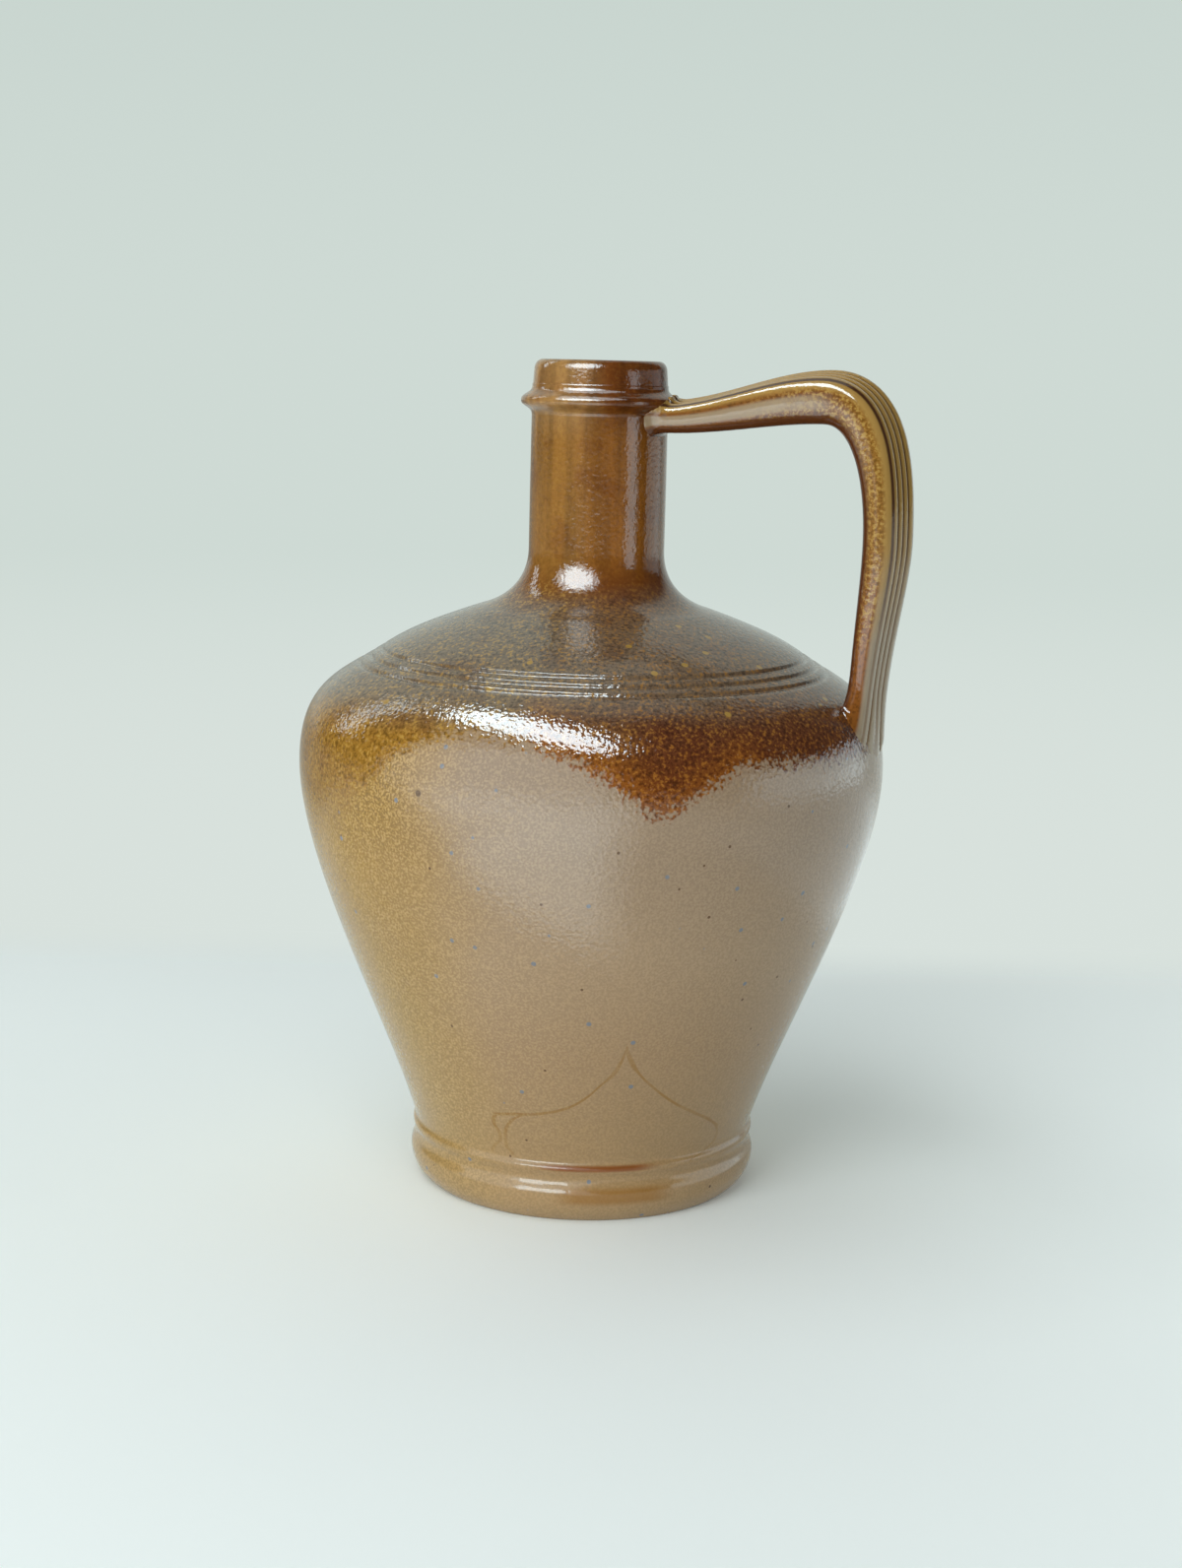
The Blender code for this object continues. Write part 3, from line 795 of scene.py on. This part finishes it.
def tan_ground(tree, place, turn, flank, height, sway):
    """Tan ground, amber on the flame side, with a meeting line, specks, a painted reflection on the foot's
    bead and roll, and painted glints.
    """
    swayed = sums(tree, "ADD", height, times(tree, sway, 12.0))
    pale = ease(tree, sums(tree, "ADD", flank, times(tree, sway, 0.3)), -0.85, -0.3)
    tan = blend(tree, pale, bands(tree, swayed, TAN_FLAME_SIDE), bands(tree, swayed, TAN_LEE_SIDE))
    grit = noise(tree, place, GRIT, 1.0)
    coarse = ease(tree, height, 100.0, 135.0, 0.76, 0.52)
    tan = shaded(tree, tan, ease(tree, grit, 0.35, 0.65, ease(tree, pale, 0.0, 1.0, coarse, 0.92), 1.08))
    worn = ease(tree, noise(tree, place, WEAR), 0.36, 0.62, 0.4, 0.75)
    tan = blend(tree, times(tree, ogee_line(tree, turn, height), worn), tan, MEETING_BROWN)
    # Painted reflection on the foot: redder on the bead and the roll where they mirror the dark room
    bead = times(tree, within(tree, height, *BEAD_REFLECTION_HEIGHTS), within(tree, turn, *BEAD_REFLECTION_TURNS))
    tan = blend(tree, bead, tan, BEAD_PAINTED_REFLECTION_RED)
    roll_reflection = times(tree, within(tree, height, *ROLL_REFLECTION_HEIGHTS), within(tree, turn, *ROLL_REFLECTION_TURNS))
    tan = blend(tree, times(tree, roll_reflection, 0.75), tan, ROLL_PAINTED_REFLECTION_BROWN)
    tan = blend(tree, spots(tree, place, 7.5, 0.72, 0.5), tan, SPECK_BLUE)
    tan = blend(tree, spots(tree, place, 6.7, 0.45, 0.35), tan, SPECK_DARK)
    # Painted glints: pale dots where the peel catches the light, strongest on the left flank and faint on the
    # foot
    painted_glints = times(tree, ease(tree, grit, 0.5, 0.68), ease(tree, flank, 0.2, -0.8, 0.03, 0.27))
    painted_glints = times(tree, painted_glints, ease(tree, height, 18.0, 34.0, 0.2, 1.0))
    return blend(tree, painted_glints, tan, PAINTED_GLINT_PALE)


def glaze(name, roughness):
    """A new glossy material, its node tree and its shader."""
    material = bpy.data.materials.new(name)
    material.use_nodes = True
    shader = material.node_tree.nodes["Principled BSDF"]
    shader.inputs["Roughness"].default_value = roughness
    return material, material.node_tree, shader


def finish_glaze(tree, shader, colour, relief, peel_depth):
    """Gives the shader its colour and the dimples of orange peel, as deep as a length in millimetres."""
    tree.links.new(colour, shader.inputs["Base Color"])
    bump = add(tree, "ShaderNodeBump", {"Height": relief, "Strength": 1.0, "Distance": peel_depth * MM})
    tree.links.new(bump.outputs["Normal"], shader.inputs["Normal"])


def salt_glaze(name, roughness, peel_depth):
    """Salt glaze with orange peel: an iron-brown wash with a ragged, running edge over a tan ground."""
    material, tree, shader = glaze(name, roughness)
    place = add(tree, "ShaderNodeTexCoord").outputs["Object"]
    side = measured(tree, place, TO_RIGHT)
    front = measured(tree, place, TO_CAMERA)
    turn = sums(tree, "DEGREES", sums(tree, "ARCTAN2", side, front))
    flank = sums(tree, "SINE", sums(tree, "RADIANS", turn))
    height = sums(tree, "DIVIDE", add(tree, "ShaderNodeSeparateXYZ", {"Vector": place}).outputs[2], MM)
    sway = wander(tree, place, SWAY)
    peel = noise(tree, place, PEEL, 1.0)
    above = sums(tree, "SUBTRACT", height, drawn(tree, turn, WASH_EDGE))
    ragged = sums(tree, "ADD", above, times(tree, sums(tree, "SUBTRACT", peel, 0.5), 14.0))
    soft = ease(tree, flank, -0.68, -0.95, 1.6, 20.0)
    wash = ease(tree, ragged, times(tree, soft, -1.0), soft)
    tan = tan_ground(tree, place, turn, flank, height, sway)
    iron = iron_wash(tree, place, flank, height, sway, above)
    colour = blend(tree, wash, tan, iron)
    blots = times(tree, spots(tree, place, 8.5, 0.9, 0.45), within(tree, height, *BLOT_HEIGHTS))
    blots = times(tree, blots, ease(tree, flank, -0.25, -0.5, 0.0, 0.8))
    colour = blend(tree, blots, colour, BLOT_DARK)
    relief = times(tree, peel, ease(tree, height, 16.0, 30.0, 0.35, 1.0))
    finish_glaze(tree, shader, colour, relief, peel_depth)
    return material


def strap_glaze(name, roughness, peel_depth):
    """Iron-brown glaze, dotted at the bend, with ochre reeds and dark grooves that pale to the tail, a
    painted pale reflection along the upper run's sides, and painted shade on the inner face.
    """
    material, tree, shader = glaze(name, roughness)
    place = add(tree, "ShaderNodeTexCoord").outputs["Object"]
    mark = add(tree, "ShaderNodeAttribute", attribute_name="strap").outputs["Vector"]
    station, across, outward = add(tree, "ShaderNodeSeparateXYZ", {"Vector": mark}).outputs
    moved = sums(tree, "ADD", station, wander(tree, place, STRAP_SWAY))
    brown = blend(tree, ease(tree, moved, 0.9, 1.5), STRAP_ROOT_BROWN, STRAP_BEND_BROWN)
    brown = blend(tree, ease(tree, moved, 1.9, 2.5), brown, STRAP_GRIP_BROWN)
    speck = speckle(tree, place)
    brown = shaded(tree, brown, ease(tree, speck, 0.36, 0.5, 0.6, 1.0))
    dotted = times(tree, ease(tree, speck, 0.5, 0.58, 0.0, 0.8), within(tree, moved, 1.0, 2.3, 0.5))
    brown = blend(tree, dotted, brown, STRAP_DOT_OCHRE)
    # Painted reflection: a pale band along the sides of the upper run, where the table shows in the glaze
    painted_reflection = times(tree, within(tree, outward, -0.15, 0.25, 0.2), ease(tree, moved, 1.15, 0.75))
    brown = blend(tree, times(tree, painted_reflection, 0.8), brown, STRAP_PAINTED_REFLECTION_PALE)
    # Painted shade: the inner face, towards the bottle, made dark
    brown = blend(tree, ease(tree, outward, -0.2, -0.6), brown, STRAP_INNER_FACE_PAINTED_SHADE)
    paled = ease(tree, moved, 1.9, 2.65)
    reed = blend(tree, paled, REED_OCHRE, REED_PALE)
    groove = blend(tree, paled, REED_GROOVE_DARK, REED_GROOVE_PALE)
    half_reed = (1 - 2 * BAR_EDGE / BAR_WIDTH) / REED_COUNT
    from_groove = sums(tree, "PINGPONG", across, half_reed)
    reed = blend(tree, ease(tree, from_groove, 0.025, 0.095), groove, reed)
    colour = blend(tree, ease(tree, outward, 0.45, 0.75), brown, reed)
    finish_glaze(tree, shader, colour, noise(tree, place, PEEL, 1.0), peel_depth)
    return material


def dress(piece, node, glazing):
    """Glazes a piece and puts it in the place of its solid."""
    piece.data.materials.append(glazing)
    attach(piece, "root")
    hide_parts(node)
    return piece


# The camera that took the photograph
LENS = 54.27
SENSOR_WIDTH = 36
CAMERA_PLACE = (0.2204, -0.6783, 0.2489)
CAMERA_TURN = 17.99 * DEGREE
CAMERA_TILT = 79.916 * DEGREE
CAMERA_LEAN = 1.44 * DEGREE

# Tints of the lamps, the table and the room
LIGHT_TINT = (0.97, 1.0, 1.0)
SHINE_TINT = (0.76, 0.92, 1.0)
TABLE_PALE = (0.84, 0.9, 0.9, 1)
# Tint of the table's painted glow
TABLE_GLOW_TINT = (0.94, 1.0, 0.97, 1)
BACK_NEAR = (0.69, 0.755, 0.72, 1)
BACK_FAR = (0.62, 0.70, 0.66, 1)
BACK_HIGH = (0.565, 0.65, 0.61, 1)
ROOM_DARK = (0.05, 0.055, 0.055, 1)
TABLE_SIZE = 24
OVERHEAD_HEIGHT = 1.3


def camera():
    """The camera where the photograph was taken from."""
    data = bpy.data.cameras.new("camera")
    data.lens = LENS
    data.sensor_width = SENSOR_WIDTH
    stand = bpy.data.objects.new("camera", data)
    turn = Matrix.Rotation(CAMERA_TURN, 4, "Z")
    tilt = Matrix.Rotation(CAMERA_TILT, 4, "X")
    lean = Matrix.Rotation(CAMERA_LEAN, 4, "Z")
    stand.matrix_world = Matrix.Translation(CAMERA_PLACE) @ turn @ tilt @ lean
    bpy.context.scene.collection.objects.link(stand)
    bpy.context.scene.camera = stand


def bearing(turn, rise=0.0):
    """A direction by its turn from the camera to the photograph's right, and its rise, in degrees."""
    level = math.cos(turn * DEGREE) * TO_CAMERA + math.sin(turn * DEGREE) * TO_RIGHT
    return math.cos(rise * DEGREE) * level + math.sin(rise * DEGREE) * UP


def lamp(name, centre, facing, upward, width, height, soft=0.0, shine=0.0, shape="RECTANGLE", only=()):
    """A panel whose luminance is soft for what it lights and shine for how it shows in the glaze."""
    back = -facing.normalized()
    across = upward.cross(back).normalized()
    turn = Matrix((across, back.cross(across), back)).transposed().to_4x4()
    area = width * height * (math.pi / 4 if shape == "ELLIPSE" else 1)
    in_front = centre - 2 * MM * back
    for use, luminance, place in (("light", soft, centre), ("shine", shine, in_front)):
        if luminance == 0:
            continue
        light = bpy.data.lights.new(f"{name}_{use}", "AREA")
        light.shape = shape
        light.size = width
        light.size_y = height
        light.color = LIGHT_TINT if use == "light" else SHINE_TINT
        light.energy = math.pi * luminance * area
        panel = bpy.data.objects.new(f"{name}_{use}", light)
        panel.matrix_world = Matrix.Translation(place) @ turn
        panel.visible_camera = False
        panel.visible_glossy = use == "shine"
        panel.visible_diffuse = use == "light"
        bpy.context.scene.collection.objects.link(panel)
        if only:
            lit = bpy.data.collections.new(f"{name}_{use}_lit")
            for piece in only:
                lit.objects.link(piece)
            panel.light_linking.receiver_collection = lit


def card(name, turn, away, rise, width, height, **use):
    """An upright panel that faces the bottle from a turn, a distance and a height."""
    lamp(name, away * bearing(turn) + rise * UP, -bearing(turn), UP, width, height, **use)


def lights(body, neck_pieces, strap):
    """A long panel overhead, a window at the left, and the panes and cards that show in the glaze."""
    high = OVERHEAD_HEIGHT
    over = high * (UP + 0.351 * bearing(21) - 0.445 * bearing(111))
    lamp("overhead", over, -UP, bearing(21), 0.49 * high, 1.6 * high, soft=2.25)
    glint = {"shine": 21.0, "shape": "ELLIPSE", "only": body + strap}
    over = high * (UP + 0.3 * bearing(21) - 0.33 * bearing(111))
    lamp("overhead_glint", over, -UP, bearing(28), 0.37 * high, 1.4 * high, **glint)
    card("window", -34, 1.2, 0.55, 0.8, 0.8, soft=4.6)
    card("front_fill", 30, 1.2, 0.35, 1.0, 0.6, soft=0.6)
    card("left_card", -78, 1.0, 0.25, 0.8, 0.6, soft=0.75)
    low_end = 1.5 * bearing(-115) + 0.42 * UP
    high_end = 1.5 * bearing(-125) + 1.6 * UP
    lean = high_end - low_end
    lamp("far_pane", (low_end + high_end) / 2, -bearing(-118, 34), lean, 0.2, lean.length, shine=5.0)
    card("near_card", 57, 1.0, 0.2, 0.3, 0.5, shine=2.5, only=neck_pieces)
    card("side_card", 94, 1.0, 0.2, 1.3, 0.5, shine=0.7, only=neck_pieces)
    card("right_card", 94, 1.0, 0.12, 1.3, 0.4, shine=1.8, only=body)
    beside = 0.55 * bearing(100) + 2 * MM * UP
    lamp("right_glow", beside, UP, bearing(100), 0.8, 0.7, shine=0.4, only=body)
    card("right_fill", 100, 1.0, 0.3, 1.0, 0.6, soft=0.9)
    card("low_window", -38, 1.0, 0.0, 2.2, 1.86, shine=1.7, shape="ELLIPSE", only=body)
    pane = bearing(-35, 40)
    in_neck = {"shape": "ELLIPSE", "only": neck_pieces}
    lamp("high_pane", 1.3 * pane + 0.18 * UP, -pane, UP, 1.0, 1.0, shine=13.0, **in_neck)
    lamp("pane_halo", 1.29 * pane + 0.18 * UP, -pane, UP, 1.5, 1.4, shine=6.0, **in_neck)
    skylight = bearing(-35, 60)
    over = skylight + 0.238 * UP
    lamp("collar_pane", over, -skylight, bearing(-35, -30), 1.4, 1.5, shine=5.0, only=neck_pieces[1:])
    card("strap_card", -30, 1.2, 0.3, 0.3, 0.8, shine=0.9, only=strap)
    sill = bearing(-25, 13)
    lamp("foot_pane", 1.2 * sill, -sill, UP, 0.7, 0.36, shine=8.0, only=body[:1])


def table_glows():
    """Panels just over the table, as (turn, near end, shine), for the light that comes off it."""
    far_end = 1.4
    glows = ((13, 0.145, 0.9), (8, 0.22, 0.4), (17, 0.3, 0.4), (11, 0.4, 0.4))
    for step, (turn, near_end, shine) in enumerate(glows):
        middle = (near_end + far_end) / 2 * bearing(turn) + 0.6 * bearing(turn - 90)
        middle += (1 + 3 * step) * MM * UP
        lamp(f"table_glow_{step}", middle, UP, bearing(turn), 1.2, far_end - near_end, soft=0.07, shine=shine)
    strip = 0.39 * bearing(4) + 0.1 * bearing(-86) + 16 * MM * UP
    lamp("table_strip", strip, UP, bearing(4), 0.2, 0.5, shine=1.15)


def pale_table():
    """A pale top that glows as painted light, more to the right and towards the back, and turns into the tone
    of the wall behind the bottle.
    """
    material = bpy.data.materials.new("pale_table")
    material.use_nodes = True
    tree = material.node_tree
    tree.nodes.clear()
    place = add(tree, "ShaderNodeTexCoord").outputs["Object"]
    depth = measured(tree, place, -TO_CAMERA)
    aside = measured(tree, place, TO_RIGHT)
    rays = add(tree, "ShaderNodeLightPath").outputs
    seen = sums(tree, "MAXIMUM", rays["Is Camera Ray"], rays["Is Glossy Ray"])
    seen = sums(tree, "MAXIMUM", seen, rays["Is Transmission Ray"])
    # Painted light: the top glows for the camera and in the glaze, more to the right and towards the back
    paler = ease(tree, aside, 0.0, 0.25, 0.09, 0.19)
    paler = sums(tree, "ADD", paler, ease(tree, depth, -0.1, 0.25, 0.0, 0.07))
    top = add(tree, "ShaderNodeBsdfDiffuse", {"Color": TABLE_PALE})
    painted_glow = add(tree, "ShaderNodeEmission", {"Color": TABLE_GLOW_TINT, "Strength": times(tree, seen, paler)})
    top = add(tree, "ShaderNodeAddShader", {0: top.outputs[0], 1: painted_glow.outputs[0]})
    tone = blend(tree, ease(tree, depth, 0.25, 2.5), BACK_NEAR, BACK_FAR)
    # Painted reflection: the wall's tone shows at half strength in the glaze towards the left
    dim = sums(tree, "MAXIMUM", rays["Is Camera Ray"], ease(tree, aside, -0.45, -0.1, 0.5, 1.0))
    back = add(tree, "ShaderNodeEmission", {"Color": tone, "Strength": dim})
    behind = times(tree, ease(tree, depth, 0.22, 0.3), seen)
    distance = add(tree, "ShaderNodeVectorMath", {0: place}, operation="LENGTH").outputs["Value"]
    far = times(tree, ease(tree, distance, 0.6, 1.1), rays["Is Camera Ray"])
    share = sums(tree, "MAXIMUM", behind, far)
    mix = add(tree, "ShaderNodeMixShader", {0: share, 1: top.outputs[0], 2: back.outputs[0]})
    add(tree, "ShaderNodeOutputMaterial", {"Surface": mix.outputs[0]})
    return material


def table():
    """The table that the bottle stands on."""
    bpy.ops.object.select_all(action="DESELECT")
    bpy.ops.mesh.primitive_plane_add(size=TABLE_SIZE)
    top = bpy.context.active_object
    top.name = "table"
    top.data.materials.append(pale_table())


def room():
    """The room: pale behind the bottle, dark elsewhere in the glaze, and pale all round for the camera."""
    world = bpy.data.worlds.new("pale_room")
    bpy.context.scene.world = world
    world.use_nodes = True
    tree = world.node_tree
    tree.nodes.clear()
    place = add(tree, "ShaderNodeTexCoord").outputs["Generated"]
    front = measured(tree, place, TO_CAMERA)
    rise = add(tree, "ShaderNodeSeparateXYZ", {"Vector": place}).outputs[2]
    level = sums(tree, "SQRT", sums(tree, "SUBTRACT", 1.0001, times(tree, rise, rise)))
    ahead = ease(tree, sums(tree, "DIVIDE", front, level), -0.82, -0.62)
    reflected = blend(tree, ahead, BACK_FAR, ROOM_DARK)
    seen = blend(tree, ease(tree, rise, 0.0, 0.24), BACK_FAR, BACK_HIGH)
    camera_ray = add(tree, "ShaderNodeLightPath").outputs["Is Camera Ray"]
    tone = blend(tree, camera_ray, reflected, seen)
    sky = add(tree, "ShaderNodeBackground", {"Color": tone, "Strength": 1.0})
    add(tree, "ShaderNodeOutputWorld", {"Surface": sky.outputs[0]})


def main():
    belly_glaze = salt_glaze("lower_body_glaze", roughness=0.12, peel_depth=0.15)
    dome_glaze = salt_glaze("shoulder_glaze", roughness=0.1, peel_depth=0.17)
    tube_glaze = salt_glaze("neck_glaze", roughness=0.12, peel_depth=0.1)
    collar_glaze = salt_glaze("collar_glaze", roughness=0.11, peel_depth=0.08)
    handle_glaze = strap_glaze("handle_glaze", roughness=0.1, peel_depth=0.06)
    belly = dress(lower_body(), "lower_body", belly_glaze)
    dome = dress(shoulder(), "shoulder", dome_glaze)
    tube = dress(neck(), "neck", tube_glaze)
    collar = dress(collar_ring(), "collar_ring", collar_glaze)
    strap = dress(handle(), "handle", handle_glaze)
    camera()
    lights((belly, dome), (tube, collar), (strap,))
    table_glows()
    table()
    room()
    bpy.context.scene.view_settings.view_transform = "Standard"


main()
